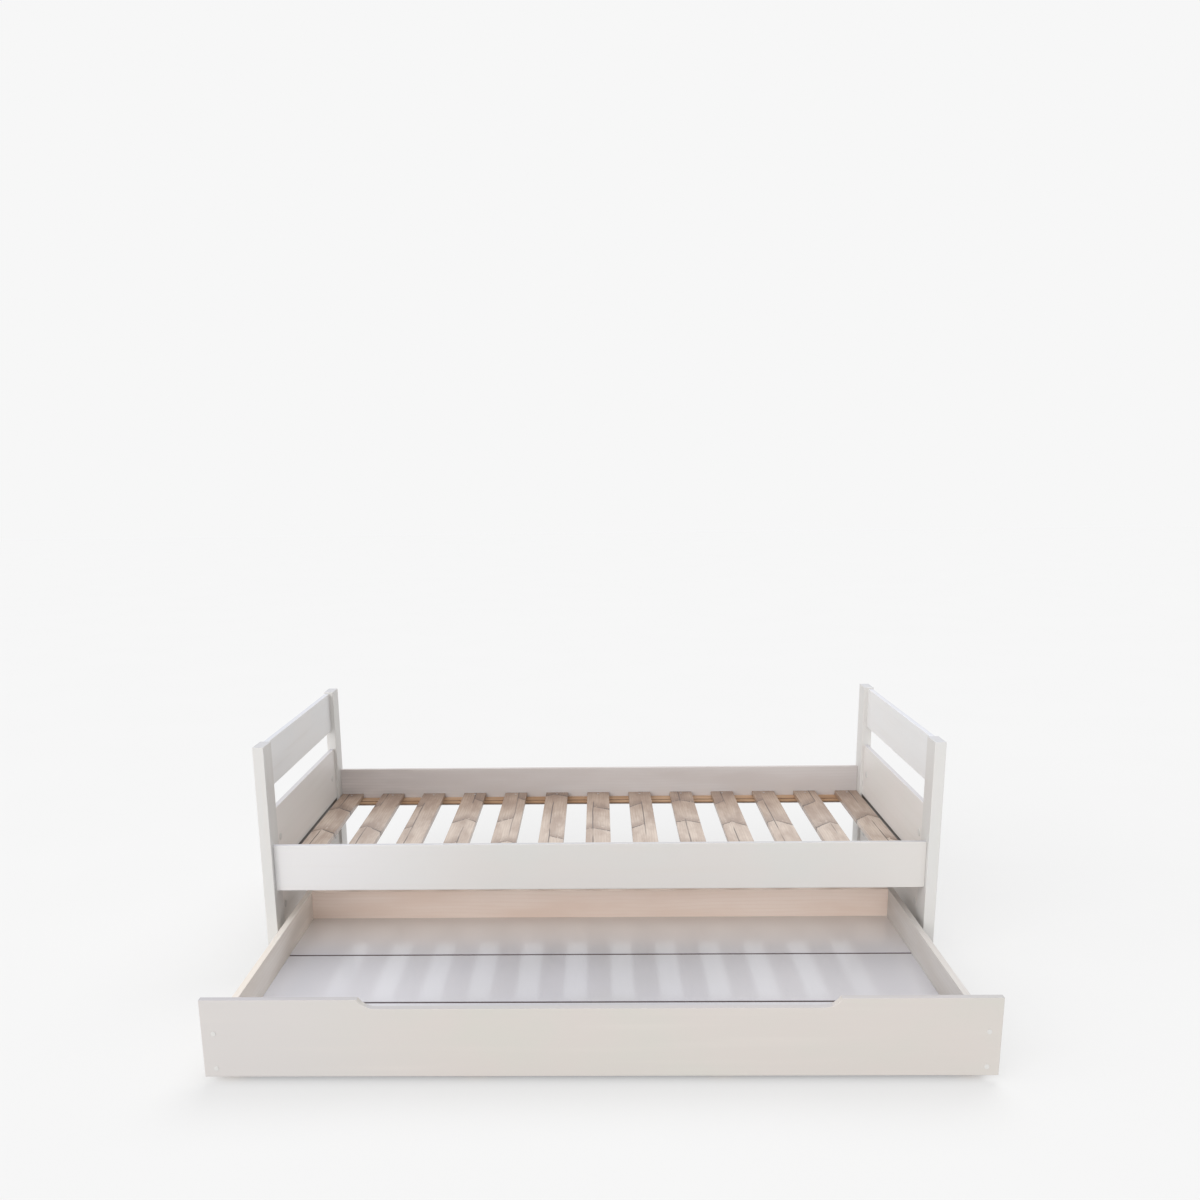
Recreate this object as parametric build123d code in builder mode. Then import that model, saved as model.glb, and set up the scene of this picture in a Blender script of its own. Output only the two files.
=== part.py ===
from build123d import *
import os

# A single bed with a roll-out trundle under it, at rest with the trundle pulled part of the way out.
# +X runs along the bed, -Y is the side the trundle rolls out of, +Z is up and the floor is z = 0.
# The origin is on the floor, in the middle of the whole footprint with the trundle out. Millimetres.

os.makedirs("parts", exist_ok=True)

# ---------------------------------------------------------------- driving dimensions

bed_length = 1960.0
bed_depth = 980.0
bed_height = 670.0
trundle_out = 700.0

post_width = 32.0
post_depth = 82.0
edge_round = 1.5
glide_height = 3.0
glide_radius = 11.0

top_board_inset = 2.0
top_board_thickness = 16.0
top_board_bottom = 529.0
top_board_top = 664.5

panel_inset = 8.0
panel_thickness = 15.0
panel_bottom = 80.0
panel_top = 462.5

rail_inset = 18.0
rail_thickness = 16.0
rail_bottom = 234.5
rail_top = 372.5

slat_count = 13
slat_pitch = 151.2
slat_width = 80.0
slat_thickness = 16.0
slat_top = 281.0
slat_end_gap = 1.0
batten_width = 48.0
batten_thickness = 14.0
batten_screw_shift = 24.0

cam_radius = 10.0
cam_depth = 10.5
cam_setback = 55.0
cam_heights = (150.0, 365.0)
cam_bolt_radius = 3.5
cam_bolt_in_post = 22.0
dowel_radius = 4.0
dowel_length = 36.0
dowel_spacing = 80.0
bolt_radius = 3.0
bolt_length = 60.0
bolt_head_radius = 7.0
bolt_head_height = 3.5
bolt_socket_radius = 2.3
bolt_socket_depth = 2.2
bolt_spacing = 76.0
insert_radius = 5.0
insert_length = 20.0

front_thickness = 18.0
front_half_length = 943.0
front_bottom = 20.0
front_top = 218.0
cutout_half_bottom = 526.0
cutout_half_top = 568.0
cutout_depth = 23.5
cap_radius = 6.0
cap_proud = 1.0

trundle_half_length = 925.5
side_thickness = 18.0
side_bottom = 26.0
side_top = 142.5
well_depth = 941.0
back_thickness = 18.0
base_top = 54.0
base_thickness = 12.0
base_gap = 6.0
base_panels = (("front", -1), ("middle", 0), ("rear", 1))
base_edge_round = 1.2
bearer_width = 45.0
bearer_thickness = 20.0
inner_bearer_x = 295.0

wheel_radius = 19.0
wheel_width = 16.0
wheel_x = 830.0
wheel_end_setback = 100.0
axle_radius = 3.0
axle_running_gap = 0.06
fork_sheet = 2.0
fork_side_gap = 1.0
fork_screw_x = 18.0
fork_screw_y = 24.0
fork_screw_length = 10.0

screw_radius = 2.0
screw_head_radius = 4.0
screw_cross = (4.4, 1.0, 1.4)
fit_gap = 0.1

# ---------------------------------------------------------------- places worked out from them

bed_y = (trundle_out + cap_proud) / 2
bed_front = bed_y - bed_depth / 2
front_back_face = bed_front - trundle_out + front_thickness
front_face = front_back_face - front_thickness
trundle_back = front_back_face + well_depth + back_thickness
base_bottom = base_top - base_thickness
bearer_bottom = base_bottom - bearer_thickness
post_inner_x = bed_length / 2 - post_width
end_board_length = bed_depth - 2 * post_depth
rail_inner_y = bed_depth / 2 - rail_inset - rail_thickness
rail_centre_y = bed_depth / 2 - rail_inset - rail_thickness / 2
rail_middle = (rail_bottom + rail_top) / 2
bolt_heights = (rail_middle - bolt_spacing / 2, rail_middle + bolt_spacing / 2)
panel_inner_x = bed_length / 2 - panel_inset - panel_thickness
panel_centre_x = panel_inner_x + panel_thickness / 2
top_board_centre_x = bed_length / 2 - top_board_inset - top_board_thickness / 2
top_board_middle = (top_board_bottom + top_board_top) / 2
dowel_heights = (top_board_middle - dowel_spacing / 2, top_board_middle + dowel_spacing / 2)
batten_top = slat_top - slat_thickness
batten_middle = batten_top - batten_thickness / 2
slat_length = 2 * (rail_inner_y - slat_end_gap)
slat_screw_y = rail_inner_y - batten_width / 2
slat_places = [slat_pitch * (index - (slat_count - 1) / 2) for index in range(slat_count)]
batten_screw_steps = [slat_pitch * slat - batten_screw_shift for slat in (1, 3, 5)]
batten_screw_places = [side * step for side in (-1, 1) for step in batten_screw_steps]
ends = (("left", -1), ("right", 1))
rows = (("front", -1), ("rear", 1))

plate_bottom = base_bottom - fork_sheet
wheel_rows = (("front", front_back_face + wheel_end_setback), ("rear", trundle_back - wheel_end_setback))
wheel_columns = (("left", -wheel_x), ("middle", 0.0), ("right", wheel_x))
wheel_spots = [(x, y) for _, x in wheel_columns for _, y in wheel_rows]
fork_screw_steps = [(sx * fork_screw_x, sy * fork_screw_y) for _, sx in ends for _, sy in rows]
fork_screw_points = [(x + step_x, y + step_y) for x, y in wheel_spots for step_x, step_y in fork_screw_steps]

low = (Align.CENTER, Align.CENTER, Align.MIN)
high = (Align.CENTER, Align.CENTER, Align.MAX)


def facing(x, y, z, direction):
    """A plane at a point with its normal in the given direction, for a hole or a fastener there."""
    return Plane(origin=(x, y, z), z_dir=direction)


def row_of(places, direction):
    """Locations at several places that all face the same way."""
    return Locations([facing(*place, direction) for place in places])


def driver_cross(length, width, depth):
    """The cross that a driver fits, sunk below the current location."""
    for size_x, size_y in ((length, width), (width, length)):
        Box(size_x, size_y, depth, align=high, mode=Mode.SUBTRACT)


def countersunk_screw(length):
    """A countersunk screw whose head is flush with the current location and whose shank points down."""
    Cylinder(screw_radius, length, align=high)
    cone_height = screw_head_radius - screw_radius
    Cone(screw_radius, screw_head_radius, cone_height, align=high)
    driver_cross(*screw_cross)


def countersunk_hole(depth):
    """The hole that a countersunk screw sits in, a little larger all over."""
    CounterSinkHole(screw_radius + fit_gap, screw_head_radius + fit_gap, depth=depth, counter_sink_angle=90)


# ---------------------------------------------------------------- bed frame: posts and glides

for end, sx in ends:
    for row, sy in rows:
        post_x = sx * (bed_length - post_width) / 2
        post_y = bed_y + sy * (bed_depth - post_depth) / 2
        inner_face_y = bed_y + sy * end_board_length / 2
        rail_y = bed_y + sy * rail_centre_y
        with BuildPart() as post:
            with Locations((post_x, post_y, glide_height)):
                Box(post_width, post_depth, bed_height - glide_height, align=low)
            fillet(post.edges().filter_by(Axis.Z), edge_round)
            fillet(post.faces().sort_by(Axis.Z)[-1].edges(), edge_round)
            with row_of([(sx * bed_length / 2, rail_y, z) for z in bolt_heights], (sx, 0, 0)):
                CounterBoreHole(bolt_radius + fit_gap, bolt_head_radius + fit_gap, bolt_head_height + fit_gap)
            with row_of([(sx * panel_centre_x, inner_face_y, z) for z in cam_heights], (0, -sy, 0)):
                Hole(cam_bolt_radius + fit_gap, depth=cam_bolt_in_post + fit_gap)
            with row_of([(sx * top_board_centre_x, inner_face_y, z) for z in dowel_heights], (0, -sy, 0)):
                Hole(dowel_radius + fit_gap, depth=dowel_length / 2 + fit_gap)
        post.part.label = f"{row}_{end}_post"
        export_step(post.part, f"parts/{post.part.label}.step")

with BuildPart() as foot_glides:
    with Locations((0, bed_y, 0)):
        with GridLocations(bed_length - post_width, bed_depth - post_depth, 2, 2):
            Cylinder(glide_radius, glide_height, align=low)
    chamfer(foot_glides.edges().group_by(Axis.Z)[0], 1.0)
foot_glides.part.label = "foot_glides"
export_step(foot_glides.part, "parts/foot_glides.step")

# ---------------------------------------------------------------- bed frame: end boards and their fittings

for end, sx in ends:
    with BuildPart() as top_board:
        with Locations((sx * top_board_centre_x, bed_y, top_board_bottom)):
            Box(top_board_thickness, end_board_length, top_board_top - top_board_bottom, align=low)
        fillet(top_board.edges().filter_by(Axis.Y), edge_round)
        for _, sy in rows:
            end_y = bed_y + sy * end_board_length / 2
            with row_of([(sx * top_board_centre_x, end_y, z) for z in dowel_heights], (0, sy, 0)):
                Hole(dowel_radius + fit_gap, depth=dowel_length / 2 + fit_gap)
    top_board.part.label = f"{end}_top_board"
    export_step(top_board.part, f"parts/{top_board.part.label}.step")

    with BuildPart() as panel:
        with Locations((sx * panel_centre_x, bed_y, panel_bottom)):
            Box(panel_thickness, end_board_length, panel_top - panel_bottom, align=low)
        fillet(panel.edges().filter_by(Axis.Y), edge_round)
        for _, sy in rows:
            end_y = bed_y + sy * end_board_length / 2
            cam_y = end_y - sy * cam_setback
            with row_of([(sx * panel_inner_x, cam_y, z) for z in cam_heights], (-sx, 0, 0)):
                Hole(cam_radius + fit_gap, depth=cam_depth + fit_gap)
            with row_of([(sx * panel_centre_x, end_y, z) for z in cam_heights], (0, sy, 0)):
                Hole(cam_bolt_radius + fit_gap, depth=cam_setback)
    panel.part.label = f"{end}_lower_panel"
    export_step(panel.part, f"parts/{panel.part.label}.step")

top_board_dowels_y = [bed_y + sy * end_board_length / 2 for _, sy in rows]
with BuildPart() as top_board_dowels:
    for _, sx in ends:
        for end_y in top_board_dowels_y:
            with row_of([(sx * top_board_centre_x, end_y, z) for z in dowel_heights], (0, 1, 0)):
                Cylinder(dowel_radius, dowel_length)
    chamfer(top_board_dowels.edges().filter_by(GeomType.CIRCLE), 0.8)
top_board_dowels.part.label = "top_board_dowels"
export_step(top_board_dowels.part, "parts/top_board_dowels.step")

# Each cam is a disc with a cross recess for the driver and a side mouth that swallows the bolt's head.
cam_mouth_depth = 7.0
cam_cross = (10.0, 2.4, 2.5)
with BuildPart() as cam_locks:
    for _, sx in ends:
        for _, sy in rows:
            cam_y = bed_y + sy * (end_board_length / 2 - cam_setback)
            for z in cam_heights:
                with Locations(facing(sx * panel_inner_x, cam_y, z, (-sx, 0, 0))):
                    Cylinder(cam_radius, cam_depth, align=high)
                    driver_cross(*cam_cross)
                with Locations(facing(sx * panel_centre_x, cam_y + sy * cam_radius, z, (0, sy, 0))):
                    Hole(cam_bolt_radius + fit_gap, depth=cam_mouth_depth)
cam_locks.part.label = "cam_locks"
export_step(cam_locks.part, "parts/cam_locks.step")

cam_bolt_length = cam_bolt_in_post + cam_setback - cam_radius + cam_mouth_depth - 1.0
with BuildPart() as cam_bolts:
    for _, sx in ends:
        for _, sy in rows:
            bolt_end_y = bed_y + sy * (end_board_length / 2 + cam_bolt_in_post)
            with row_of([(sx * panel_centre_x, bolt_end_y, z) for z in cam_heights], (0, sy, 0)):
                Cylinder(cam_bolt_radius, cam_bolt_length, align=high)
cam_bolts.part.label = "cam_bolts"
export_step(cam_bolts.part, "parts/cam_bolts.step")

# A thin plastic cover hides each cam, held by a small plug in the cam's cross recess.
cover_radius = 11.0
cover_proud = 1.4
cover_rim_round = 0.8
cover_plug_radius = 1.0
cover_plug_depth = 1.8
with BuildPart() as cam_covers:
    for _, sx in ends:
        for _, sy in rows:
            cam_y = bed_y + sy * (end_board_length / 2 - cam_setback)
            with row_of([(sx * panel_inner_x, cam_y, z) for z in cam_heights], (-sx, 0, 0)):
                Cylinder(cover_radius, cover_proud, align=low)
                Cylinder(cover_plug_radius, cover_plug_depth, align=high)
    circles = cam_covers.edges().filter_by(GeomType.CIRCLE)
    rims = circles.filter_by(lambda edge: abs(edge.arc_center.X) < panel_inner_x - cover_proud / 2)
    fillet(rims, cover_rim_round)
cam_covers.part.label = "cam_covers"
export_step(cam_covers.part, "parts/cam_covers.step")

# ---------------------------------------------------------------- bed frame: rails, bolts and battens

rail_bolt_hole_depth = bolt_length - post_width + 6.0
batten_screw_length = batten_width + 12.0
for row, sy in rows:
    rail_y = bed_y + sy * rail_centre_y
    with BuildPart() as rail:
        with Locations((0, rail_y, rail_bottom)):
            Box(2 * post_inner_x, rail_thickness, rail_top - rail_bottom, align=low)
        fillet(rail.edges(), edge_round)
        for _, sx in ends:
            with row_of([(sx * post_inner_x, rail_y, z) for z in bolt_heights], (sx, 0, 0)):
                Hole(bolt_radius + fit_gap, depth=rail_bolt_hole_depth)
                Hole(insert_radius + fit_gap, depth=insert_length + fit_gap)
        inner_y = bed_y + sy * rail_inner_y
        with row_of([(x, inner_y, batten_middle) for x in batten_screw_places], (0, -sy, 0)):
            Hole(screw_radius + fit_gap, depth=batten_screw_length - batten_width + fit_gap)
    rail.part.label = f"{row}_side_rail"
    export_step(rail.part, f"parts/{rail.part.label}.step")

    with BuildPart() as batten:
        with Locations((0, bed_y + sy * (rail_inner_y - batten_width / 2), batten_top)):
            Box(2 * post_inner_x, batten_width, batten_thickness, align=high)
        edge_y = bed_y + sy * (rail_inner_y - batten_width)
        with row_of([(x, edge_y, batten_middle) for x in batten_screw_places], (0, -sy, 0)):
            countersunk_hole(batten_width)
        with Locations([(x, bed_y + sy * slat_screw_y, batten_top) for x in slat_places]):
            Hole(screw_radius + fit_gap, depth=batten_thickness - 4.0)
    batten.part.label = f"{row}_slat_batten"
    export_step(batten.part, f"parts/{batten.part.label}.step")

with BuildPart() as rail_bolts:
    for _, sx in ends:
        for _, sy in rows:
            head_x = sx * bed_length / 2
            rail_y = bed_y + sy * rail_centre_y
            with row_of([(head_x, rail_y, z) for z in bolt_heights], (sx, 0, 0)):
                Cylinder(bolt_head_radius, bolt_head_height, align=high)
                Cylinder(bolt_radius, bolt_length, align=high)
            for z in bolt_heights:
                with BuildSketch(facing(head_x, rail_y, z, (sx, 0, 0))):
                    RegularPolygon(bolt_socket_radius, 6)
                extrude(amount=-bolt_socket_depth, mode=Mode.SUBTRACT)
rail_bolts.part.label = "rail_bolts"
export_step(rail_bolts.part, "parts/rail_bolts.step")

with BuildPart() as rail_inserts:
    for _, sx in ends:
        for _, sy in rows:
            rail_y = bed_y + sy * rail_centre_y
            with row_of([(sx * post_inner_x, rail_y, z) for z in bolt_heights], (sx, 0, 0)):
                Cylinder(insert_radius, insert_length, align=high)
                Cylinder(bolt_radius + fit_gap, insert_length, align=high, mode=Mode.SUBTRACT)
rail_inserts.part.label = "rail_inserts"
export_step(rail_inserts.part, "parts/rail_inserts.step")

with BuildPart() as batten_screws:
    for _, sy in rows:
        edge_y = bed_y + sy * (rail_inner_y - batten_width)
        with row_of([(x, edge_y, batten_middle) for x in batten_screw_places], (0, -sy, 0)):
            countersunk_screw(batten_screw_length)
batten_screws.part.label = "batten_screws"
export_step(batten_screws.part, "parts/batten_screws.step")

# ---------------------------------------------------------------- bed frame: slats

slat_screw_length = slat_thickness + 9.0
slat_round = 1.2
for number, slat_x in enumerate(slat_places, start=1):
    with BuildPart() as slat:
        with Locations((slat_x, bed_y, batten_top)):
            Box(slat_width, slat_length, slat_thickness, align=low)
        fillet(slat.edges().filter_by(Axis.Y), slat_round)
        with Locations([(slat_x, bed_y + sy * slat_screw_y, slat_top) for _, sy in rows]):
            countersunk_hole(slat_thickness)
    slat.part.label = f"slat_{number:02d}"
    export_step(slat.part, f"parts/{slat.part.label}.step")

with BuildPart() as slat_screws:
    for _, sy in rows:
        with Locations([(x, bed_y + sy * slat_screw_y, slat_top) for x in slat_places]):
            countersunk_screw(slat_screw_length)
slat_screws.part.label = "slat_screws"
export_step(slat_screws.part, "parts/slat_screws.step")

# ---------------------------------------------------------------- trundle: front board, its screws and caps

cap_plug_depth = 2.2
front_screw_sink = 2.5
front_screw_length = 48.0
front_screw_inset = 11.5
front_screw_x = trundle_half_length - front_screw_inset
front_screw_heights = (42.5, 132.5)
front_screw_places = [(sx * front_screw_x, z) for _, sx in ends for z in front_screw_heights]
screw_bore_radius = screw_head_radius + 3 * fit_gap

with BuildPart() as front_board:
    with BuildSketch(Plane.XZ.offset(-front_back_face)):
        with BuildLine():
            Line((-cutout_half_top, front_top), (-front_half_length, front_top))
            Line((-front_half_length, front_top), (-front_half_length, front_bottom))
            Line((-front_half_length, front_bottom), (front_half_length, front_bottom))
            Line((front_half_length, front_bottom), (front_half_length, front_top))
            Line((front_half_length, front_top), (cutout_half_top, front_top))
            right_end = TangentArc(
                (cutout_half_bottom, front_top - cutout_depth),
                (cutout_half_top, front_top),
                tangent=(1, 0),
            )
            Line(right_end @ 0, (-cutout_half_bottom, front_top - cutout_depth))
            TangentArc(
                (-cutout_half_bottom, front_top - cutout_depth),
                (-cutout_half_top, front_top),
                tangent=(-1, 0),
            )
        make_face()
    extrude(amount=front_thickness)
    fillet(front_board.faces().sort_by(Axis.Y)[0].edges(), edge_round)
    with row_of([(x, front_face, z) for x, z in front_screw_places], (0, -1, 0)):
        CounterBoreHole(screw_radius + fit_gap, screw_bore_radius, 2 * front_screw_sink)
front_board.part.label = "trundle_front_board"
export_step(front_board.part, "parts/trundle_front_board.step")

with BuildPart() as front_screws:
    with row_of([(x, front_face + front_screw_sink, z) for x, z in front_screw_places], (0, -1, 0)):
        Cylinder(screw_head_radius, front_screw_sink, align=high)
        Cylinder(screw_radius, front_screw_length, align=high)
front_screws.part.label = "front_board_screws"
export_step(front_screws.part, "parts/front_board_screws.step")

with BuildPart() as screw_caps:
    with row_of([(x, front_face, z) for x, z in front_screw_places], (0, -1, 0)):
        Cylinder(cap_radius, cap_proud, align=low)
        Cylinder(screw_head_radius, cap_plug_depth, align=high)
    fillet(screw_caps.faces().group_by(Axis.Y)[0].edges(), 0.7)
screw_caps.part.label = "front_screw_caps"
export_step(screw_caps.part, "parts/front_screw_caps.step")

# ---------------------------------------------------------------- trundle: sides, back and base

side_length = trundle_back - front_back_face
side_middle_y = (front_back_face + trundle_back) / 2
back_centre_y = trundle_back - back_thickness / 2
back_screw_heights = (75.0, 120.0)
back_screw_length = 50.0
bearer_middle_z = bearer_bottom + bearer_thickness / 2
side_screw_length = 40.0
side_screw_offset = 50.0
base_screw_length = 28.0
base_screw_offset = 110.0
base_end_gap = 0.5
base_panel_width = (side_length - (len(base_panels) - 1) * base_gap) / len(base_panels)
base_panel_pitch = base_panel_width + base_gap
base_panel_places = [side_middle_y + step * base_panel_pitch for _, step in base_panels]
side_screw_shifts = (-side_screw_offset, side_screw_offset)
side_screw_places = [y + shift for y in base_panel_places for shift in side_screw_shifts]
base_screw_shifts = (-base_screw_offset, base_screw_offset)
base_screw_places = [y + shift for y in base_panel_places for shift in base_screw_shifts]
end_bearer_x = trundle_half_length - side_thickness - bearer_width / 2
bearer_places = (-end_bearer_x, -inner_bearer_x, inner_bearer_x, end_bearer_x)

for end, sx in ends:
    outer_x = sx * trundle_half_length
    with BuildPart() as side:
        with Locations((outer_x - sx * side_thickness / 2, side_middle_y, side_bottom)):
            Box(side_thickness, side_length, side_top - side_bottom, align=low)
        fillet(side.edges().filter_by(Axis.Y), edge_round)
        with row_of([(sx * front_screw_x, front_back_face, z) for z in front_screw_heights], (0, -1, 0)):
            Hole(screw_radius + fit_gap, depth=front_screw_length)
        with row_of([(outer_x, y, bearer_middle_z) for y in side_screw_places], (sx, 0, 0)):
            countersunk_hole(side_thickness)
        with row_of([(outer_x, back_centre_y, z) for z in back_screw_heights], (sx, 0, 0)):
            countersunk_hole(side_thickness)
    side.part.label = f"trundle_{end}_side"
    export_step(side.part, f"parts/{side.part.label}.step")

back_half_length = trundle_half_length - side_thickness
with BuildPart() as back_board:
    with Locations((0, back_centre_y, base_top)):
        Box(2 * back_half_length, back_thickness, side_top - base_top, align=low)
    fillet(back_board.edges().filter_by(Axis.X).group_by(Axis.Z)[-1], edge_round)
    for _, sx in ends:
        with row_of([(sx * back_half_length, back_centre_y, z) for z in back_screw_heights], (sx, 0, 0)):
            Hole(screw_radius + fit_gap, depth=back_screw_length - side_thickness + 1.0)
back_board.part.label = "trundle_back_board"
export_step(back_board.part, "parts/trundle_back_board.step")

with BuildPart() as trundle_side_screws:
    for _, sx in ends:
        outer_x = sx * trundle_half_length
        with row_of([(outer_x, y, bearer_middle_z) for y in side_screw_places], (sx, 0, 0)):
            countersunk_screw(side_screw_length)
        with row_of([(outer_x, back_centre_y, z) for z in back_screw_heights], (sx, 0, 0)):
            countersunk_screw(back_screw_length)
trundle_side_screws.part.label = "trundle_side_screws"
export_step(trundle_side_screws.part, "parts/trundle_side_screws.step")

base_screw_bite = base_screw_length - bearer_thickness
panel_screw_points = [(x, shift) for x in bearer_places for shift in base_screw_shifts]
for (panel_name, _), panel_y in zip(base_panels, base_panel_places):
    with BuildPart() as base_panel:
        with Locations((0, panel_y, base_bottom)):
            Box(2 * (back_half_length - base_end_gap), base_panel_width, base_thickness, align=low)
        fillet(base_panel.edges().filter_by(Axis.X).group_by(Axis.Z)[-1], base_edge_round)
        with row_of([(x, panel_y + shift, base_bottom) for x, shift in panel_screw_points], (0, 0, -1)):
            Hole(screw_radius + fit_gap, depth=base_screw_bite + fit_gap)
        over_this_panel = [(x, y) for x, y in fork_screw_points if abs(y - panel_y) < base_panel_width / 2]
        if over_this_panel:
            with row_of([(x, y, base_bottom) for x, y in over_this_panel], (0, 0, -1)):
                Hole(screw_radius + fit_gap, depth=fork_screw_length - fork_sheet + fit_gap)
    base_panel.part.label = f"{panel_name}_base_panel"
    export_step(base_panel.part, f"parts/{base_panel.part.label}.step")

bearer_names = ("left_end", "left_inner", "right_inner", "right_end")
for bearer_name, bearer_x in zip(bearer_names, bearer_places):
    with BuildPart() as bearer:
        with Locations((bearer_x, side_middle_y, bearer_bottom)):
            Box(bearer_width, side_length, bearer_thickness, align=low)
        with row_of([(bearer_x, y, bearer_bottom) for y in base_screw_places], (0, 0, -1)):
            countersunk_hole(bearer_thickness)
        if abs(bearer_x) == end_bearer_x:
            outward = 1 if bearer_x > 0 else -1
            joint_x = outward * back_half_length
            with row_of([(joint_x, y, bearer_middle_z) for y in side_screw_places], (outward, 0, 0)):
                Hole(screw_radius + fit_gap, depth=side_screw_length - side_thickness + 1.0)
    bearer.part.label = f"{bearer_name}_base_bearer"
    export_step(bearer.part, f"parts/{bearer.part.label}.step")

with BuildPart() as base_screws:
    for bearer_x in bearer_places:
        with row_of([(bearer_x, y, bearer_bottom) for y in base_screw_places], (0, 0, -1)):
            countersunk_screw(base_screw_length)
base_screws.part.label = "base_screws"
export_step(base_screws.part, "parts/base_screws.step")

# ---------------------------------------------------------------- trundle: wheels, forks and axles

fork_inner = wheel_width / 2 + fork_side_gap
fork_plate_width = 50.0
fork_plate_length = 64.0
fork_top_half = 17.0
fork_boss_radius = 7.0
fork_screw_head_height = 1.6
rivet_head_radius = 4.5
rivet_head_height = 1.5

with BuildPart() as wheel_forks:
    for x, y in wheel_spots:
        with Locations((x, y, plate_bottom)):
            Box(fork_plate_width, fork_plate_length, fork_sheet, align=low)
        for _, sx in ends:
            side_plane = Plane(origin=(x + sx * fork_inner, y, 0), x_dir=(0, sx, 0), z_dir=(sx, 0, 0))
            with BuildSketch(side_plane):
                with BuildLine():
                    Polyline(
                        (-fork_top_half, plate_bottom + fork_sheet / 2),
                        (fork_top_half, plate_bottom + fork_sheet / 2),
                        (fork_boss_radius, wheel_radius),
                        (-fork_boss_radius, wheel_radius),
                        close=True,
                    )
                make_face()
                with Locations((0, wheel_radius)):
                    Circle(fork_boss_radius)
                    Circle(axle_radius + fit_gap, mode=Mode.SUBTRACT)
            extrude(amount=fork_sheet)
        with Locations((x, y, plate_bottom)):
            with GridLocations(2 * fork_screw_x, 2 * fork_screw_y, 2, 2):
                Cylinder(screw_radius + fit_gap, fork_sheet, align=low, mode=Mode.SUBTRACT)
wheel_forks.part.label = "wheel_forks"
export_step(wheel_forks.part, "parts/wheel_forks.step")

with BuildPart() as wheel_axles:
    for x, y in wheel_spots:
        outer = fork_inner + fork_sheet
        with Locations(facing(x, y, wheel_radius, (1, 0, 0))):
            Cylinder(axle_radius, 2 * (outer + rivet_head_height))
        for _, sx in ends:
            with Locations(facing(x + sx * (outer + fit_gap), y, wheel_radius, (sx, 0, 0))):
                Cylinder(rivet_head_radius, rivet_head_height, align=low)
wheel_axles.part.label = "wheel_axles"
export_step(wheel_axles.part, "parts/wheel_axles.step")

with BuildPart() as fork_screws:
    for x, y in wheel_spots:
        with Locations(facing(x, y, plate_bottom, (0, 0, -1))):
            with GridLocations(2 * fork_screw_x, 2 * fork_screw_y, 2, 2):
                Cylinder(screw_radius, fork_screw_length, align=high)
                Cylinder(screw_head_radius, fork_screw_head_height, align=low)
        with Locations(facing(x, y, plate_bottom - fork_screw_head_height, (0, 0, -1))):
            with GridLocations(2 * fork_screw_x, 2 * fork_screw_y, 2, 2):
                driver_cross(*screw_cross)
fork_screws.part.label = "fork_screws"
export_step(fork_screws.part, "parts/fork_screws.step")

hub_recess = 3.0
hub_recess_inner = 6.5
hub_recess_outer = 14.0
tread_round = 2.0
for column, x in wheel_columns:
    for row, y in wheel_rows:
        wheel_plane = Plane(origin=(x, y, wheel_radius), x_dir=(1, 0, 0), z_dir=(0, -1, 0))
        with BuildPart() as wheel:
            with BuildSketch(wheel_plane) as section:
                with Locations((0, (wheel_radius + axle_radius + axle_running_gap) / 2)):
                    Rectangle(wheel_width, wheel_radius - axle_radius - axle_running_gap)
                fillet(section.vertices().group_by(Axis.Y)[-1], tread_round)
                recess_middle = (hub_recess_inner + hub_recess_outer) / 2
                for _, sx in ends:
                    with Locations((sx * (wheel_width - hub_recess) / 2, recess_middle)):
                        Rectangle(hub_recess, hub_recess_outer - hub_recess_inner, mode=Mode.SUBTRACT)
            revolve(axis=Axis((x, y, wheel_radius), (1, 0, 0)))
        wheel.part.label = f"{row}_{column}_wheel"
        export_step(wheel.part, f"parts/{wheel.part.label}.step")
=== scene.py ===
import math

import bpy
from mathutils import Matrix, Vector


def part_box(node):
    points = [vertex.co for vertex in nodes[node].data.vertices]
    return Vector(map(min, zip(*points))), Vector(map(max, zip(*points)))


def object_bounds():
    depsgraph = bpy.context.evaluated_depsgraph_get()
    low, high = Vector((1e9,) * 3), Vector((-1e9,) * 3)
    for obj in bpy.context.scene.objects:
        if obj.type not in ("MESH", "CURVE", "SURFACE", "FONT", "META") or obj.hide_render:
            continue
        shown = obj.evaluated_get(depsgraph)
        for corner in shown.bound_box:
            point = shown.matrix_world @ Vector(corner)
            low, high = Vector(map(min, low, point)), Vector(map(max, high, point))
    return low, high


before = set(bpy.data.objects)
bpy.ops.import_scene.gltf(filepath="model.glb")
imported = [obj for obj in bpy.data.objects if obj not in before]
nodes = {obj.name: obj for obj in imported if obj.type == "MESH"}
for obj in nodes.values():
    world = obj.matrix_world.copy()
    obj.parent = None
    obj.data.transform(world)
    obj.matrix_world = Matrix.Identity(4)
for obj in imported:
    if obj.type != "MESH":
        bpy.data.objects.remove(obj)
cad_low, cad_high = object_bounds()
scene = bpy.context.scene

# The camera stands in front of the trundle, a little above a seated eye, and looks slightly down.
CAMERA_PLACE = (0.008, -3.356, 1.3895)
CAMERA_PITCH = math.radians(14.42)
CAMERA_YAW = math.radians(-1.26)
CAMERA_ROLL = math.radians(0.73)
CAMERA_LENS = 35.04
CAMERA_SHIFT = (0.0205, 0.1518)

# Linear brightness of the backdrop as seen and reflected, and of the fill light it gives.
BACKDROP = 0.93
FILL_LIGHT = 0.70

# The point that every light faces.
LIGHT_TARGET = (0.0, 0.0, 0.3)

# The floor's glow and tint in the open, which keep its shadows soft, and its tint under the bed.
FLOOR_GLOW = 0.495
FLOOR_TINT = 0.35
FLOOR_TINT_UNDER = 0.80


# ---------------------------------------------------------------- camera, backdrop and lights


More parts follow.
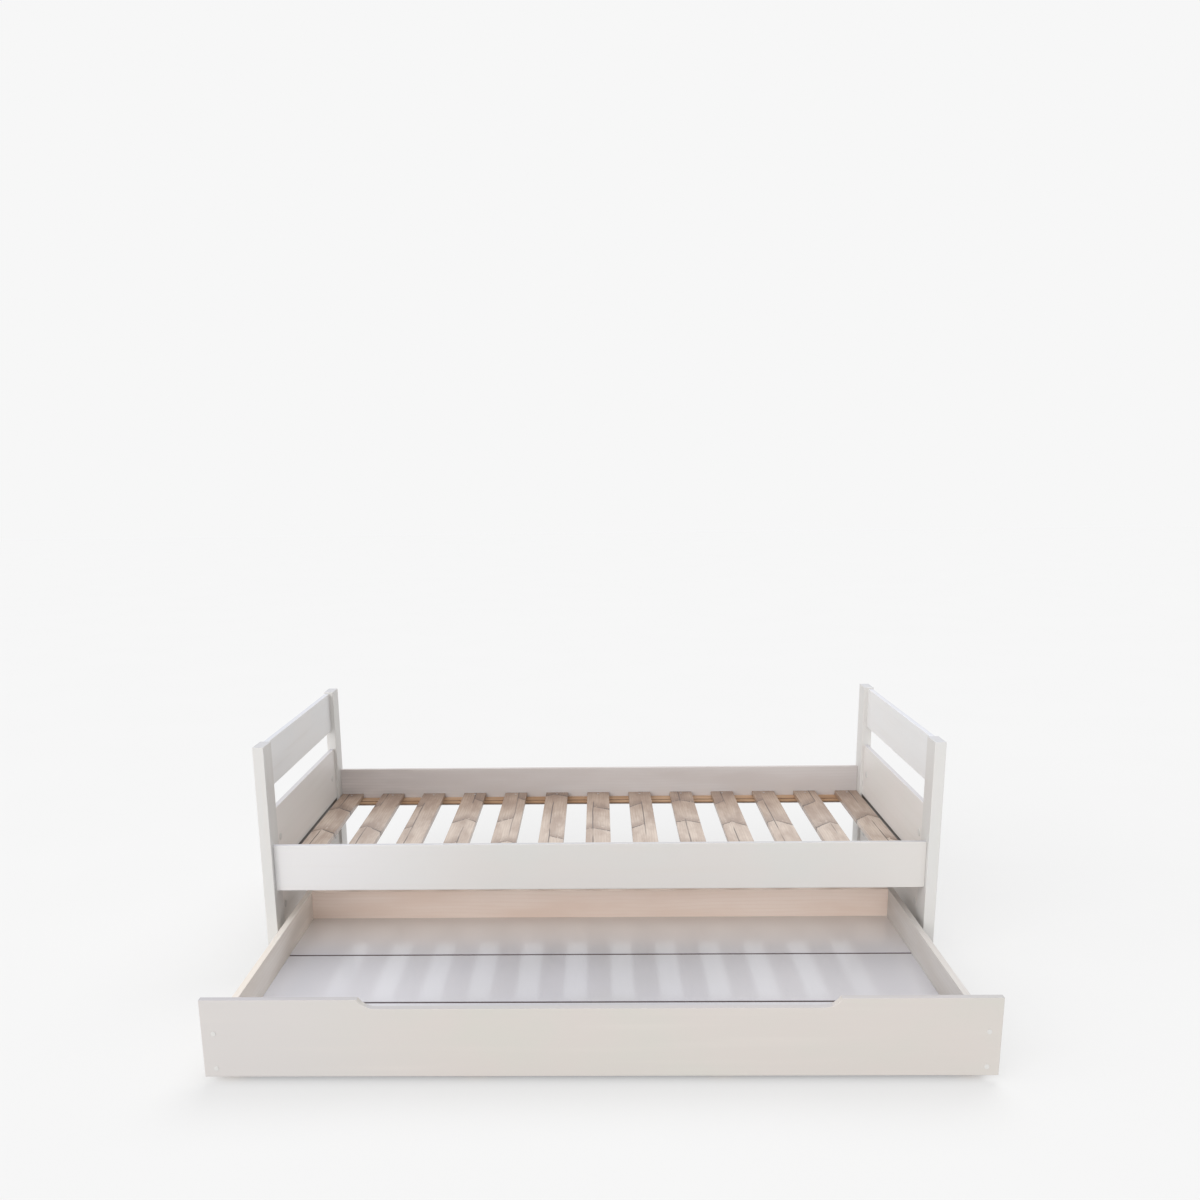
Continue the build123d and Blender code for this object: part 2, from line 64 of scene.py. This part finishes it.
def add_camera():
    """The camera that the constants above describe."""
    camera = bpy.data.objects.new("camera", bpy.data.cameras.new("camera"))
    scene.collection.objects.link(camera)
    camera.data.lens = CAMERA_LENS
    camera.data.shift_x, camera.data.shift_y = CAMERA_SHIFT
    turn = Matrix.Rotation(-CAMERA_YAW, 4, "Z") @ Matrix.Rotation(math.pi / 2 - CAMERA_PITCH, 4, "X")
    camera.matrix_world = Matrix.Translation(CAMERA_PLACE) @ turn @ Matrix.Rotation(-CAMERA_ROLL, 4, "Z")
    scene.camera = camera


def add_soft_sun(name, place, strength, spread):
    """A broad soft light from the direction of a place, spread over an angle in degrees."""
    light = bpy.data.objects.new(name, bpy.data.lights.new(name, "SUN"))
    scene.collection.objects.link(light)
    light.data.energy = strength
    light.data.angle = math.radians(spread)
    aim = (Vector(LIGHT_TARGET) - Vector(place)).to_track_quat("-Z", "Y")
    light.matrix_world = Matrix.Translation(place) @ aim.to_matrix().to_4x4()


def add_world():
    """A white backdrop, seen and reflected at full brightness, that gives a dimmer fill light."""
    world = bpy.data.worlds.new("studio")
    world.use_nodes = True
    tree = world.node_tree
    path = tree.nodes.new("ShaderNodeLightPath")
    level = tree.nodes.new("ShaderNodeMapRange")
    level.inputs["To Min"].default_value = FILL_LIGHT
    level.inputs["To Max"].default_value = BACKDROP
    seen = tree.nodes.new("ShaderNodeMath")
    seen.operation = "MAXIMUM"
    tree.links.new(path.outputs["Is Camera Ray"], seen.inputs[0])
    tree.links.new(path.outputs["Is Glossy Ray"], seen.inputs[1])
    tree.links.new(seen.outputs[0], level.inputs["Value"])
    tree.links.new(level.outputs[0], tree.nodes["Background"].inputs["Strength"])
    tree.nodes["Background"].inputs["Color"].default_value = (1.0, 1.0, 1.0, 1.0)
    scene.world = world
    scene.view_settings.view_transform = "Standard"


# ---------------------------------------------------------------- small helpers for node trees


class Tree:
    """A material's node tree, with short calls for the nodes that the woods and plastics use."""

    def __init__(self, name):
        self.material = bpy.data.materials.new(name)
        self.material.use_nodes = True
        self.nodes = self.material.node_tree.nodes
        self.links = self.material.node_tree.links
        self.shader = self.nodes["Principled BSDF"]
        self.place = self.new("ShaderNodeTexCoord").outputs["Object"]

    def new(self, kind, **settings):
        """A node of a kind, with its settings."""
        node = self.nodes.new(kind)
        for key, value in settings.items():
            setattr(node, key, value)
        return node

    def put(self, socket, value):
        """Links an output, or sets a plain value."""
        if isinstance(value, bpy.types.NodeSocket):
            self.links.new(value, socket)
        else:
            socket.default_value = value

    def math(self, operation, a, b=0.0, c=0.0):
        node = self.new("ShaderNodeMath", operation=operation)
        for socket, value in zip(node.inputs, (a, b, c)):
            self.put(socket, value)
        return node.outputs[0]

    def add(self, a, b):
        return self.math("ADD", a, b)

    def less(self, a, b):
        return self.math("SUBTRACT", a, b)

    def times(self, a, b):
        return self.math("MULTIPLY", a, b)

    def distance(self, a, b):
        """How far apart two numbers are."""
        return self.math("ABSOLUTE", self.less(a, b))

    def split(self, vector):
        node = self.new("ShaderNodeSeparateXYZ")
        self.put(node.inputs[0], vector)
        return node.outputs

    def join(self, x, y, z):
        node = self.new("ShaderNodeCombineXYZ")
        for socket, value in zip(node.inputs, (x, y, z)):
            self.put(socket, value)
        return node.outputs[0]

    def stretched(self, grain, along_scale, across_scale):
        """Grain coordinates, scaled one way along the grain and another across it."""
        along, across, up = grain
        scaled = (self.times(across, across_scale), self.times(up, across_scale))
        return self.join(self.times(along, along_scale), *scaled)

    def true_normal(self):
        return self.split(self.new("ShaderNodeNewGeometry").outputs["True Normal"])

    def noise(self, vector, scale=1.0, detail=2.0, roughness=0.5):
        node = self.new("ShaderNodeTexNoise")
        self.put(node.inputs["Vector"], vector)
        node.inputs["Scale"].default_value = scale
        node.inputs["Detail"].default_value = detail
        node.inputs["Roughness"].default_value = roughness
        return node.outputs[0]

    def random(self, vector):
        """Three random numbers from 0 to 1 that stay the same all over a cell."""
        node = self.new("ShaderNodeTexWhiteNoise", noise_dimensions="3D")
        self.put(node.inputs["Vector"], vector)
        return self.split(node.outputs["Color"])

    def fade(self, value, low, high, start=0.0, end=1.0):
        """A smooth step of value from low to high."""
        node = self.new("ShaderNodeMapRange", interpolation_type="SMOOTHSTEP")
        for socket, number in zip(node.inputs, (value, low, high, start, end)):
            self.put(socket, number)
        return node.outputs[0]

    def mix(self, factor, a, b, blend="MIX"):
        """Two colours, or a colour and an output, mixed by a factor."""
        node = self.new("ShaderNodeMix", data_type="RGBA", blend_type=blend)
        self.put(node.inputs["Factor"], factor)
        self.put(node.inputs[6], a if isinstance(a, bpy.types.NodeSocket) else (*a, 1.0))
        self.put(node.inputs[7], b if isinstance(b, bpy.types.NodeSocket) else (*b, 1.0))
        return node.outputs[2]

    def bump(self, height, strength, distance):
        """Relief in the shader's normal."""
        node = self.new("ShaderNodeBump")
        node.inputs["Strength"].default_value = strength
        node.inputs["Distance"].default_value = distance
        self.put(node.inputs["Height"], height)
        self.put(self.shader.inputs["Normal"], node.outputs[0])

    def finish(self, colour, roughness, metallic=0.0):
        """The material itself, once its colour, roughness and metalness are set."""
        self.put(self.shader.inputs["Base Color"], colour)
        self.put(self.shader.inputs["Roughness"], roughness)
        self.shader.inputs["Metallic"].default_value = metallic
        return self.material


def grain_coordinates(tree, axis):
    """Coordinates with the grain first: along it, then the two directions across."""
    x, y, z = tree.split(tree.place)[:3]
    return {"X": (x, y, z), "Y": (y, x, z), "Z": (z, x, y)}[axis]


# ---------------------------------------------------------------- materials


def painted_wood(name, axis, warm, cool, left=None, joint=None):
    """Off-white satin paint over pine, with faint clouds and the grain just telegraphing through.

    Faces that look up are a cooler grey, a painted shade for how the light falls on them. The left end may
    take another tint, painted light for how the light falls there. The inner face may take a dark line
    between two heights, a painted shadow in the crack beside the slats."""
    streak_tint = (0.620, 0.580, 0.540)
    fibre_tint = (0.600, 0.560, 0.520)
    upward_painted_shade = (0.830, 0.845, 0.910)
    crack_shadow_tint = (0.045, 0.028, 0.018)
    left_end = (-0.25, -0.85)
    crack_foot = 0.004
    crack_edge = 0.0005

    tree = Tree(name)
    grain = grain_coordinates(tree, axis)
    clouds = tree.noise(tree.stretched(grain, 1.3, 2.2), 2.4, 3.0)
    colour = tree.mix(tree.fade(clouds, 0.38, 0.64), warm, cool)
    # Painted light: the left end takes another tint, standing in for the light that falls there.
    if left:
        colour = tree.mix(tree.fade(tree.split(tree.place)[0], *left_end), colour, left)
    fibre = tree.noise(tree.stretched(grain, 5.0, 190.0), 1.0, 4.0)
    streak = tree.noise(tree.stretched(grain, 1.6, 38.0), 1.0, 2.0)
    colour = tree.mix(tree.fade(streak, 0.52, 0.78, 0.0, 0.22), colour, streak_tint)
    colour = tree.mix(tree.fade(fibre, 0.55, 0.80, 0.0, 0.12), colour, fibre_tint)
    facing = tree.true_normal()
    # Painted shade: faces that look up are multiplied to a cooler grey, standing in for how the light
    # falls on them.
    colour = tree.mix(tree.fade(facing[2], 0.80, 0.95), colour, upward_painted_shade, "MULTIPLY")
    # Painted shadow: a dark line on the inner face between two heights, where the crack beside the slats
    # lies in shade.
    if joint:
        bottom, top = joint
        x, _, height = tree.split(tree.place)[:3]
        inner_face = tree.fade(tree.times(x, facing[0]), -0.5, -0.9)
        below_top = tree.fade(height, top + crack_edge, top - crack_edge)
        above_bottom = tree.fade(height, bottom - crack_foot, bottom)
        crack = tree.times(tree.times(inner_face, below_top), above_bottom)
        colour = tree.mix(tree.times(crack, 0.93), colour, crack_shadow_tint)
    orange_peel = tree.noise(tree.place, 420.0, 2.0)
    tree.bump(tree.add(tree.times(fibre, 0.8), tree.times(orange_peel, 0.25)), 0.22, 0.0006)
    return tree.finish(colour, tree.fade(streak, 0.2, 0.8, 0.40, 0.50))


def whitewashed_pine(name, axis, wash, wood, dark, painted_light_end=None):
    """Pine under a thin white wash: pale straight grain, small pin knots and a pinkish cast.

    One end may take painted light, a lighter tint for the light that falls there, given as its axis,
    where it starts, where it is full and its tint."""
    rings_per_metre = 170.0
    tree = Tree(name)
    grain = grain_coordinates(tree, axis)
    sway = tree.noise(tree.stretched(grain, 2.0, 6.0), 1.0, 2.0)
    ring = tree.add(tree.add(grain[1], grain[2]), tree.times(sway, 0.035))
    line = tree.math("PINGPONG", tree.times(ring, rings_per_metre), 1.0)
    fibre = tree.noise(tree.stretched(grain, 8.0, 420.0), 1.0, 3.0)
    clouds = tree.noise(tree.stretched(grain, 1.6, 9.0), 1.7, 3.0)
    # Painted light: one end is blended to a lighter tint, standing in for the light that reaches it.
    if painted_light_end:
        across_axis, start, full, tint = painted_light_end
        wash = tree.mix(tree.fade(tree.split(tree.place)[across_axis], start, full), wash, tint)
    colour = tree.mix(tree.fade(clouds, 0.32, 0.70), wash, wood)
    colour = tree.mix(tree.fade(line, 0.45, 1.0, 0.0, 0.34), colour, wood)
    colour = tree.mix(tree.fade(fibre, 0.50, 0.78, 0.0, 0.38), colour, wood)
    knots = tree.new("ShaderNodeTexVoronoi", feature="F1")
    tree.put(knots.inputs["Vector"], tree.stretched(grain, 4.0, 10.0))
    knots.inputs["Scale"].default_value = 1.0
    rare = tree.fade(tree.split(knots.outputs["Color"])[0], 0.62, 0.66)
    eye = tree.times(tree.fade(knots.outputs["Distance"], 0.085, 0.03), rare)
    halo = tree.times(tree.fade(knots.outputs["Distance"], 0.24, 0.06), rare)
    colour = tree.mix(tree.times(halo, 0.35), colour, wood)
    colour = tree.mix(tree.times(eye, 0.60), colour, dark)
    tree.bump(tree.add(tree.times(line, 0.3), fibre), 0.25, 0.0005)
    return tree.finish(colour, tree.fade(fibre, 0.3, 0.7, 0.52, 0.66))


def slat_pine(slat_pitch, first_slat_x):
    """Sawn pine cut through the heart: each slat has its own dark heart check and pairs of spike knots."""
    pale = (0.580, 0.475, 0.395)
    tan = (0.360, 0.258, 0.198)
    brown = (0.195, 0.118, 0.078)
    knot_tint = (0.060, 0.030, 0.018)
    check_tint = (0.060, 0.032, 0.020)
    rear_lighting_tint = (0.630, 0.550, 0.480)
    rear_shade = (0.30, 0.72)
    whorl_spacing = 0.26
    rings_per_metre = 230.0
    check_half_width = (0.0025, 0.0013)

    # Which slat this is, and how far from the middle of it.
    tree = Tree("slat_pine")
    x, y, z = tree.split(tree.place)[:3]
    grain = (y, x, z)
    number = tree.math("ROUND", tree.math("DIVIDE", tree.less(x, first_slat_x), slat_pitch))
    centre = tree.add(tree.times(number, slat_pitch), first_slat_x)
    chance = tree.random(tree.join(number, 3.0, 7.0))
    across = tree.less(x, centre)

    # The heart wanders along the slat, and everything else is measured from it.
    wander = tree.noise(tree.join(tree.times(y, 3.0), number, 0.5), 1.0, 2.0)
    heart = tree.add(tree.times(tree.less(chance[0], 0.5), 0.040), tree.times(wander, 0.014))
    signed = tree.less(across, tree.less(heart, 0.007))
    reach = tree.math("ABSOLUTE", signed)
    side = tree.math("SIGN", signed)

    # Spike knots start at the heart, lean away from it and widen, with darker wood in their lee.
    lean = tree.add(tree.times(chance[1], 1.3), 0.1)
    ripple = tree.noise(tree.join(tree.times(y, 30.0), tree.times(x, 60.0), 0.0), 1.0, 2.0)
    climb = tree.add(tree.add(y, tree.times(reach, lean)), tree.times(ripple, 0.014))
    step = tree.add(tree.math("DIVIDE", climb, whorl_spacing), tree.times(chance[2], 5.0))
    whorl = tree.math("FLOOR", step)
    from_knot = tree.times(tree.less(tree.math("FRACT", step), 0.5), whorl_spacing)
    luck = tree.random(tree.join(number, whorl, side))
    present = tree.fade(luck[0], 0.24, 0.30)
    taper = tree.add(tree.times(reach, 0.115), 0.0032)
    spike = tree.fade(tree.math("ABSOLUTE", from_knot), taper, tree.times(taper, 0.25))
    patches = tree.noise(tree.join(tree.times(x, 90.0), tree.times(y, 40.0), number), 1.0, 2.0)
    patchy = tree.fade(patches, 0.28, 0.44)
    spike = tree.times(tree.times(spike, present), patchy)
    lee = tree.times(tree.fade(from_knot, 0.085, 0.0), tree.fade(from_knot, -0.003, 0.001))
    lee = tree.times(lee, tree.times(present, patchy))

    # Growth lines bend round the knots.
    swell = tree.fade(tree.math("ABSOLUTE", from_knot), 0.035, 0.0)
    swell = tree.times(swell, tree.times(present, 0.006))
    sway = tree.noise(tree.stretched(grain, 3.0, 14.0), 1.0, 3.0)
    ring = tree.add(tree.add(reach, swell), tree.add(tree.times(sway, 0.020), tree.times(z, 0.6)))
    line = tree.math("PINGPONG", tree.times(ring, rings_per_metre), 1.0)
    fibre = tree.noise(tree.stretched(grain, 9.0, 520.0), 1.0, 3.0)
    clouds = tree.noise(tree.join(tree.times(y, 5.0), tree.times(x, 18.0), number), 1.0, 4.0, 0.6)

    colour = tree.mix(tree.fade(clouds, 0.34, 0.68), pale, tan)
    colour = tree.mix(tree.fade(line, 0.40, 1.0, 0.0, 0.34), colour, tan)
    colour = tree.mix(tree.fade(fibre, 0.48, 0.76, 0.0, 0.45), colour, tan)
    colour = tree.mix(tree.times(lee, 0.72), colour, brown)
    colour = tree.mix(tree.times(spike, 0.95), colour, knot_tint)
    # Painted shade: the rear of each slat is multiplied darker, standing in for the shade and missing
    # sheen under the rear rail.
    colour = tree.mix(tree.fade(y, *rear_shade), colour, rear_lighting_tint, "MULTIPLY")
    gaps = tree.noise(tree.join(tree.times(y, 3.0), number, 9.0), 1.0, 1.0)
    check = tree.times(tree.fade(reach, *check_half_width), tree.fade(gaps, 0.47, 0.52))
    colour = tree.mix(tree.times(check, 0.88), colour, check_tint)
    depth = tree.add(tree.times(check, -1.6), tree.add(tree.times(line, 0.25), fibre))
    tree.bump(tree.add(depth, tree.times(spike, -0.6)), 0.45, 0.0008)
    tree.shader.inputs["Coat Weight"].default_value = 0.62
    tree.shader.inputs["Coat Roughness"].default_value = 0.22
    return tree.finish(colour, tree.fade(fibre, 0.3, 0.7, 0.45, 0.60))


def plain_pine(name, axis, pale, tan, edge=None):
    """Planed pine with clear straight growth rings, for battens, bearers and dowels.

    Edge gives the depth and height of a batten's lower inner edge, and the middle that the depth is taken
    from. The arrises there are darkened with painted shade, and the batten has a few knots."""
    arris_shade_tint = (0.130, 0.070, 0.035)
    knot_tint = (0.120, 0.060, 0.030)
    rings_per_metre = 210.0

    tree = Tree(name)
    grain = grain_coordinates(tree, axis)
    sway = tree.noise(tree.stretched(grain, 2.5, 10.0), 1.0, 2.0)
    ring = tree.add(tree.add(grain[1], tree.times(grain[2], 0.7)), tree.times(sway, 0.02))
    line = tree.math("PINGPONG", tree.times(ring, rings_per_metre), 1.0)
    fibre = tree.noise(tree.stretched(grain, 10.0, 480.0), 1.0, 3.0)
    clouds = tree.noise(tree.stretched(grain, 3.0, 20.0), 1.0, 3.0)
    colour = tree.mix(tree.fade(clouds, 0.35, 0.70), pale, tan)
    colour = tree.mix(tree.fade(line, 0.50, 1.0, 0.0, 0.55), colour, tan)
    colour = tree.mix(tree.fade(fibre, 0.50, 0.78, 0.0, 0.35), colour, tan)
    if edge:
        depth, height, middle_y = edge
        _, y, z = tree.split(tree.place)[:3]
        from_edge = tree.distance(tree.distance(y, middle_y), depth)
        # Painted shade: dark lines along the batten's lower arris and its upper front arris, where shade
        # falls.
        low_arris_shade = tree.fade(z, height + 0.0050, height + 0.0020)
        upper = tree.fade(z, height + 0.0100, height + 0.0130)
        top_arris_shade = tree.times(tree.fade(from_edge, 0.0060, 0.0015), upper)
        colour = tree.mix(tree.times(tree.add(low_arris_shade, top_arris_shade), 0.75), colour, arris_shade_tint)
        knots = tree.fade(tree.noise(tree.stretched(grain, 13.0, 1.0), 1.0, 2.0), 0.66, 0.72)
        colour = tree.mix(tree.times(knots, 0.60), colour, knot_tint)
    tree.bump(tree.add(tree.times(line, 0.4), fibre), 0.30, 0.0006)
    return tree.finish(colour, tree.fade(fibre, 0.3, 0.7, 0.55, 0.70))


def base_laminate(seams, seam_half_width):
    """Pale lilac-grey melamine with a fine pebbled face, faint clouding and dark arrises at the seams.

    It is paler towards both ends, and paler and warmer towards the back: painted light for how the light
    falls there."""
    middle_tints = ((0.545, 0.540, 0.580), (0.530, 0.525, 0.550))
    left_painted_light = (0.655, 0.653, 0.695)
    right_painted_light = (0.605, 0.598, 0.630)
    rear_lighting_tint = (0.650, 0.605, 0.580)
    speckle_tint = (0.440, 0.425, 0.440)
    arris_tint = (0.185, 0.165, 0.200)
    raw_edge_tint = (0.140, 0.105, 0.090)

    tree = Tree("base_laminate")
    clouds = tree.noise(tree.place, 3.5, 3.0)
    speckle = tree.noise(tree.place, 650.0, 2.0)
    x, y, _ = tree.split(tree.place)[:3]
    colour = tree.mix(tree.fade(clouds, 0.25, 0.75), *middle_tints)
    # Painted light: both ends and the back are paler, the back warmer too, standing in for how the light
    # falls there.
    colour = tree.mix(tree.fade(x, -0.15, -0.70), colour, left_painted_light)
    colour = tree.mix(tree.fade(x, 0.10, 0.55), colour, right_painted_light)
    colour = tree.mix(tree.fade(y, -0.25, 0.06), colour, rear_lighting_tint)
    colour = tree.mix(tree.fade(speckle, 0.55, 0.80, 0.0, 0.20), colour, speckle_tint)
    for seam in seams:
        arris = tree.fade(tree.distance(y, seam), seam_half_width + 0.0032, seam_half_width + 0.0012)
        colour = tree.mix(tree.times(arris, 0.80), colour, arris_tint)
    raw_edge = tree.fade(tree.math("ABSOLUTE", tree.true_normal()[1]), 0.80, 0.95)
    colour = tree.mix(raw_edge, colour, raw_edge_tint)
    tree.bump(speckle, 0.08, 0.0002)
    return tree.finish(colour, tree.fade(speckle, 0.2, 0.8, 0.11, 0.13))


def moulded_plastic(name, colour, shade, roughness):
    """Moulded plastic: a fine spark-eroded texture and slight flow marks."""
    tree = Tree(name)
    flow = tree.noise(tree.place, 60.0, 3.0)
    grit = tree.noise(tree.place, 1400.0, 2.0)
    tint = tree.mix(tree.fade(flow, 0.35, 0.70), colour, shade)
    tree.bump(grit, 0.25, 0.0002)
    return tree.finish(tint, tree.fade(flow, 0.3, 0.7, roughness, roughness + 0.12))


def plated_metal(name, colour, shade, roughness):
    """Zinc or brass: bright metal with a cloudy passivated film and fine turning marks."""
    tree = Tree(name)
    film = tree.noise(tree.place, 180.0, 3.0)
    marks = tree.noise(tree.place, 2600.0, 1.0)
    tint = tree.mix(tree.fade(film, 0.35, 0.70), colour, shade)
    tree.bump(marks, 0.15, 0.0001)
    return tree.finish(tint, tree.fade(film, 0.3, 0.7, roughness, roughness + 0.16), metallic=1.0)


def floor_material(low, high):
    """A pale matt studio floor that glows a little, except under the bed."""
    tree = Tree("studio_floor")
    grain = tree.noise(tree.place, 1.5, 2.0)
    x, y, _ = tree.split(tree.place)[:3]
    half_length = (high.x - low.x) / 2
    from_middle = tree.distance(x, (low.x + high.x) / 2)
    under = tree.times(
        tree.fade(from_middle, half_length + 0.02, half_length - 0.06),
        tree.times(tree.fade(y, low.y - 0.01, low.y + 0.09), tree.fade(y, high.y + 0.02, high.y - 0.08)),
    )
    shade = tree.fade(under, 0.0, 1.0, FLOOR_TINT, FLOOR_TINT_UNDER)
    shade = tree.times(shade, tree.fade(grain, 0.3, 0.7, 0.995, 1.005))
    tree.shader.inputs["Emission Color"].default_value = (1.0, 1.0, 1.0, 1.0)
    tree.put(tree.shader.inputs["Emission Strength"], tree.fade(under, 0.0, 1.0, FLOOR_GLOW, 0.0))
    tree.shader.inputs["Specular IOR Level"].default_value = 0.0
    return tree.finish(tree.join(shade, shade, shade), 0.9)


# ---------------------------------------------------------------- the scene

add_camera()
add_world()
add_soft_sun("key", (-2.65, -3.80, 2.20), 1.4, 50.0)
add_soft_sun("rear_top", (1.2, 3.2, 5.3), 1.15, 45.0)
add_soft_sun("left_fill", (-5.0, -0.6, 1.9), 0.36, 30.0)
add_soft_sun("front_low", (0.4, -5.0, 1.9), 0.35, 20.0)

floor_mesh = bpy.data.meshes.new("studio_floor")
floor_reach = 30.0
corners = [(sx * floor_reach, sy * floor_reach, 0.0) for sx, sy in ((-1, -1), (1, -1), (1, 1), (-1, 1))]
floor_mesh.from_pydata(corners, [], [(0, 1, 2, 3)])
floor = bpy.data.objects.new("studio_floor", floor_mesh)
scene.collection.objects.link(floor)
floor.data.materials.append(floor_material(cad_low, cad_high))

slat_low, slat_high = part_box("slat_01")
next_low, next_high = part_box("slat_02")
first_slat_x = (slat_low.x + slat_high.x) / 2
slat_pitch = (next_low.x + next_high.x) / 2 - first_slat_x

# Paint, with the grain's axis and a warm and a cool tint. The parts' paints differ in brightness partly as
# real paint and partly as painted light and shade, set for how the light falls on each part; the rail and
# the trundle front also take painted light at the left end, and the panels a painted shadow beside the
# slats.
post_paint = painted_wood("painted_posts", "Z", (0.620, 0.607, 0.590), (0.612, 0.607, 0.590))
top_paint = painted_wood("painted_top_boards", "Y", (0.735, 0.730, 0.730), (0.725, 0.728, 0.732))
panel_paint = painted_wood(
    "painted_panels", "Y", (0.710, 0.680, 0.660), (0.700, 0.680, 0.655), joint=(slat_low.z, slat_high.z)
)
rail_paint = painted_wood(
    "painted_rail", "X", (0.625, 0.600, 0.575), (0.615, 0.605, 0.580), left=(0.680, 0.668, 0.665)
)
front_paint = painted_wood(
    "painted_trundle_front", "X", (0.556, 0.515, 0.484), (0.540, 0.519, 0.480), left=(0.550, 0.523, 0.507)
)

# Whitewash, with the grain's axis, the wash, the wood that shows through it and the knots.
# The trundle's sides and back board are lit and shaded copies of one wash, painted light and shade for how
# the light falls on each; the back board is lightest, standing in for the light it lacks under the bed.
left_wash = whitewashed_pine(
    "whitewashed_left_side",
    "Y",
    (0.780, 0.735, 0.690),
    (0.710, 0.650, 0.590),
    (0.440, 0.330, 0.260),
    painted_light_end=(1, -0.45, 0.05, (0.930, 0.860, 0.790)),
)
right_wash = whitewashed_pine(
    "whitewashed_right_side", "Y", (0.595, 0.570, 0.550), (0.530, 0.495, 0.465), (0.380, 0.300, 0.250)
)
back_wash = whitewashed_pine(
    "whitewashed_back_board", "X", (0.820, 0.700, 0.625), (0.760, 0.615, 0.530), (0.440, 0.310, 0.230)
)
rear_wash = whitewashed_pine(
    "whitewashed_rear_rail",
    "X",
    (0.548, 0.515, 0.505),
    (0.500, 0.458, 0.443),
    (0.380, 0.315, 0.290),
    painted_light_end=(0, -0.45, -0.90, (0.660, 0.610, 0.595)),
)

# Bare wood.
slats = slat_pine(slat_pitch, first_slat_x)
batten_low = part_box("rear_slat_batten")[0]
bed_middle_y = (slat_low.y + slat_high.y) / 2
batten_edge = (batten_low.y - bed_middle_y, batten_low.z, bed_middle_y)
batten = plain_pine("batten_pine", "X", (0.600, 0.400, 0.255), (0.420, 0.245, 0.135), edge=batten_edge)
bearer = plain_pine("bearer_pine", "Y", (0.600, 0.450, 0.310), (0.460, 0.310, 0.190))
dowel = plain_pine("dowel_beech", "Y", (0.560, 0.400, 0.260), (0.450, 0.300, 0.180))

# The base, whose two seams lie between its three panels.
front_base_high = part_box("front_base_panel")[1]
middle_base_low, middle_base_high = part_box("middle_base_panel")
rear_base_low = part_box("rear_base_panel")[0]
seams = ((front_base_high.y + middle_base_low.y) / 2, (middle_base_high.y + rear_base_low.y) / 2)
laminate = base_laminate(seams, (rear_base_low.y - middle_base_high.y) / 2)

# Plastics and metals.
white_plastic = moulded_plastic("white_plastic", (0.60, 0.59, 0.57), (0.57, 0.56, 0.545), 0.42)
wheel_plastic = moulded_plastic("wheel_plastic", (0.045, 0.045, 0.048), (0.030, 0.030, 0.033), 0.45)
zinc = plated_metal("zinc_plate", (0.62, 0.62, 0.63), (0.50, 0.51, 0.54), 0.28)
brass = plated_metal("plain_brass", (0.66, 0.48, 0.20), (0.52, 0.36, 0.14), 0.30)


finish_of_node = {
    "front_side_rail": rail_paint,
    "trundle_front_board": front_paint,
    "rear_side_rail": rear_wash,
    "trundle_back_board": back_wash,
    "trundle_left_side": left_wash,
    "trundle_right_side": right_wash,
    "front_screw_caps": white_plastic,
    "cam_covers": white_plastic,
    "foot_glides": white_plastic,
    "top_board_dowels": dowel,
    "rail_inserts": brass,
    "slat_screws": zinc,
}
finish_of_ending = {
    "_post": post_paint,
    "_top_board": top_paint,
    "_lower_panel": panel_paint,
    "_slat_batten": batten,
    "_base_bearer": bearer,
    "_base_panel": laminate,
    "_wheel": wheel_plastic,
}


def material_for(node):
    """The finish of a CAD node, by its name, by the end of its name, or plated steel for a fitting."""
    if node in finish_of_node:
        return finish_of_node[node]
    for ending, material in finish_of_ending.items():
        if node.endswith(ending):
            return material
    return slats if node.startswith("slat_") else zinc


for name, node in nodes.items():
    for slot in node.material_slots:
        slot.material = material_for(name)
